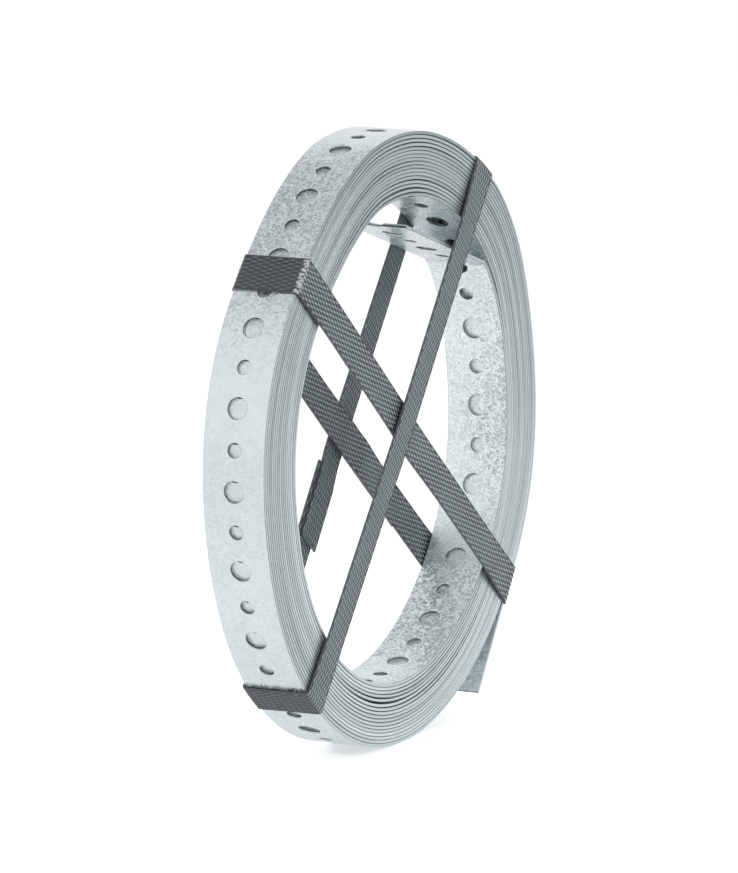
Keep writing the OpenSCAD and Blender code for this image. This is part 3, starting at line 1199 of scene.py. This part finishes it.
        # Painted sheen: 1 on the runs, which face the ends of the coil, and 0 on the rim pieces
        keep_value(mesh, "painted_sheen", np.abs(out_y))
        keep_value(mesh, "fold", fold * np.interp(flat[:, 0], line["knots"], self.worn))
        mesh.vertices.foreach_set("co", (wound * MM).astype(np.float32).ravel())
        mesh.update()
        return piece

    def dress(self, piece: bpy.types.Object) -> None:
        """Says what the strap rides on and stands for."""
        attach(piece, "root")
        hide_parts(self.node)


@dataclass(frozen=True)
class SoftLamp:
    """A round lamp that points at the coil: its place and size in metres and its power in watts."""

    name: str
    place: Spot
    size: float
    power: float
    mirrored: bool = True


@dataclass
class Studio:
    """Pale floor, soft light and the camera."""

    sizes: CoilSizes
    azimuth: float = -64.0
    elevation: float = 10.298
    pixels_per_mm: float = 3.3561
    distance: float = 2800.0
    sensor: float = 36.0
    image: tuple[int, int] = (738, 873)
    middle: tuple[float, float] = (374.04, 436.82)
    lamps: tuple[SoftLamp, ...] = (
        SoftLamp("key", (0.5, -1.5, 1.1), 1.2, 9.0),
        SoftLamp("fill", (-1.4, -0.8, 0.3), 1.4, 3.6),
        SoftLamp("back", (-0.085, 0.28, 0.1), 0.16, 0.65, mirrored=False),
    )
    floor_half: float = 30.0
    floor_tone: Colour = (0.86, 0.86, 0.86, 1)
    # What the floor adds for the camera, and the share of even white in what the metal shows of the floor
    floor_glow: float = 0.35
    floor_even: float = 0.6
    # Level of the surroundings as light, and at the horizon and overhead as the metal shows them
    level: float = 0.72
    mirrored: tuple[float, float] = (1.0, 0.4)
    # Heights between which the mirrored surroundings darken, and how much lower that begins towards X
    darken: tuple[float, float] = (0.66, 0.97)
    darken_lower: float = 0.2
    card_place: Spot = (0.195, -0.36, 0.28)
    card_size: tuple[float, float] = (0.5, 0.44)
    card_turn: float = 64.0
    card_tone: Colour = (0.34, 0.34, 0.34, 1)

    def camera(self) -> None:
        """Makes the camera."""
        a, e = math.radians(self.azimuth), math.radians(self.elevation)
        back = Vector((math.sin(a) * math.cos(e), -math.cos(a) * math.cos(e), math.sin(e)))
        right = Vector((math.cos(a), math.sin(a), 0))
        up = back.cross(right)
        aim = Vector((self.sizes.axis_x, 0, self.sizes.axis_z))
        aim -= right * ((self.middle[0] - self.image[0] / 2) / self.pixels_per_mm)
        aim += up * ((self.middle[1] - self.image[1] / 2) / self.pixels_per_mm)
        data = bpy.data.cameras.new("camera")
        data.sensor_fit, data.sensor_height = "VERTICAL", self.sensor
        data.lens = self.sensor * self.pixels_per_mm * self.distance / self.image[1]
        data.clip_start, data.clip_end = 0.1, 50.0
        camera = bpy.data.objects.new("camera", data)
        camera.location = (aim + back * self.distance) * MM
        camera.rotation_mode = "QUATERNION"
        camera.rotation_quaternion = (-back).to_track_quat("-Z", "Y")
        bpy.context.scene.collection.objects.link(camera)
        bpy.context.scene.camera = camera

    def floor(self) -> None:
        """Makes the pale floor, which shows white and keeps the shadow."""
        bm = bmesh.new()
        bmesh.ops.create_grid(bm, x_segments=1, y_segments=1, size=self.floor_half)
        sh = Shader(bpy.data.materials.new("pale_floor"))
        glow = sh.ray("Is Camera Ray") * self.floor_glow
        mirror = sh.ray("Is Glossy Ray") * self.floor_even
        plain = sh.node("ShaderNodeBsdfDiffuse", None, {"Color": self.floor_tone})
        glow = sh.node("ShaderNodeEmission", None, {"Color": WHITE, "Strength": glow})
        both = sh.node("ShaderNodeAddShader", None, {0: plain, 1: glow})
        even = sh.node("ShaderNodeEmission", None, {"Color": WHITE, "Strength": 1.0})
        both = sh.node("ShaderNodeMixShader", None, {0: mirror, 1: both, 2: even})
        sh.node("ShaderNodeOutputMaterial", None, {"Surface": both})
        new_piece("floor", bm, [sh.owner])

    def light(self) -> None:
        """Makes the soft light and the white surroundings."""
        scene = bpy.context.scene
        scene.view_settings.view_transform = "Standard"
        world = bpy.data.worlds.new("studio")
        scene.world = world
        sh = Shader(world)
        camera = sh.ray("Is Camera Ray")
        mirror = sh.ray("Is Glossy Ray") + sh.ray("Is Transmission Ray")
        way = sh.node("ShaderNodeTexCoord", None, None, "Generated")
        across, height = (sh.node("ShaderNodeSeparateXYZ", None, {"Vector": way}, axis) for axis in "XZ")
        dark = (height + self.darken_lower * across.step(0.0, 0.9)).step(*self.darken)
        shown = dark.between(*self.mirrored)
        level = self.level + (1.0 - self.level) * camera + (shown - self.level) * mirror
        back = sh.node("ShaderNodeBackground", None, {"Color": WHITE, "Strength": level})
        sh.node("ShaderNodeOutputWorld", None, {"Surface": back})
        for lamp in self.lamps:
            data = bpy.data.lights.new(lamp.name, "AREA")
            data.shape, data.size, data.energy = "DISK", lamp.size, lamp.power
            holder = bpy.data.objects.new(lamp.name, data)
            holder.location = lamp.place
            holder.rotation_mode = "QUATERNION"
            aim = Vector((0, 0, self.sizes.axis_z * MM)) - Vector(lamp.place)
            holder.rotation_quaternion = aim.to_track_quat("-Z", "Y")
            holder.visible_camera = False
            holder.visible_glossy = lamp.mirrored
            scene.collection.objects.link(holder)

    def card(self) -> None:
        """Stands a grey card to the right of the coil, which only shows as a reflection in the metal."""
        bm = bmesh.new()
        bmesh.ops.create_grid(bm, x_segments=1, y_segments=1, size=0.5)
        bmesh.ops.scale(bm, vec=(*self.card_size, 1.0), verts=bm.verts[:])
        upright = Matrix.Rotation(math.radians(90.0), 4, "X")
        turn = Matrix.Rotation(math.radians(self.card_turn), 4, "Z") @ upright
        bmesh.ops.transform(bm, matrix=Matrix.Translation(self.card_place) @ turn, verts=bm.verts[:])
        sh = Shader(bpy.data.materials.new("dark_card"))
        card = new_piece("card", bm, [sh.surface({"Base Color": self.card_tone, "Roughness": 0.9})])
        card.visible_camera = card.visible_diffuse = card.visible_shadow = False


def main() -> None:
    """Builds the coil, its straps and the studio."""
    sizes = CoilSizes()
    path = WindingPath(sizes)
    studio = Studio(sizes)
    studio.camera()
    studio.floor()
    studio.light()
    studio.card()
    coil = BandCoil(sizes, path)
    piece = coil.build()
    coil.dress(piece)
    LOG.info("%s: %d faces, hole pitch %.3f mm", piece.name, len(piece.data.polygons), coil.pitch)
    finish = StrapPlastic().make()
    for strap in (
        TieStrap("first_strap", "inner_strap", sizes, path, Turning.LEFT, -39.3, 2.3, 12.0, 34.0,
                 shift=(-2.0, -1.65, 0.0, 0.2, 0.1, -0.4, -0.1, 0.0, -0.3, -1.8),
                 stand=(1.5, 0.9, 0.0, -0.2, -0.8, -1.5, 0.0, 0.0, 1.2, 1.5),
                 worn=(0.0, 0.0, 0.4, 1.0, 0.0, 0.0, 0.25, 0.2, 0.0, 0.0), crossing=4.5, rise=-0.5),
        TieStrap("second_strap", "outer_strap", sizes, path, Turning.RIGHT, 50.9, 4.5, 13.5, 24.0,
                 shift=(-3.9, -2.9, -1.0, 0.1, 0.1, 0.1, 0.15, -0.3, -3.3, -2.2),
                 stand=(-0.3, -1.3, 0.0, 0.0, 1.25, 1.1, 0.4, 0.4, -1.0, -0.6),
                 worn=(0.0, 0.0, 0.2, 0.3, 0.0, 0.0, 0.05, 0.1, 0.0, 0.0), crossing=2.3, rise=0.55),
    ):
        piece = strap.build(finish)
        strap.dress(piece)
        LOG.info("%s: %d faces", piece.name, len(piece.data.polygons))


if __name__ == "__main__":
    logging.basicConfig(level=logging.INFO)
    main()
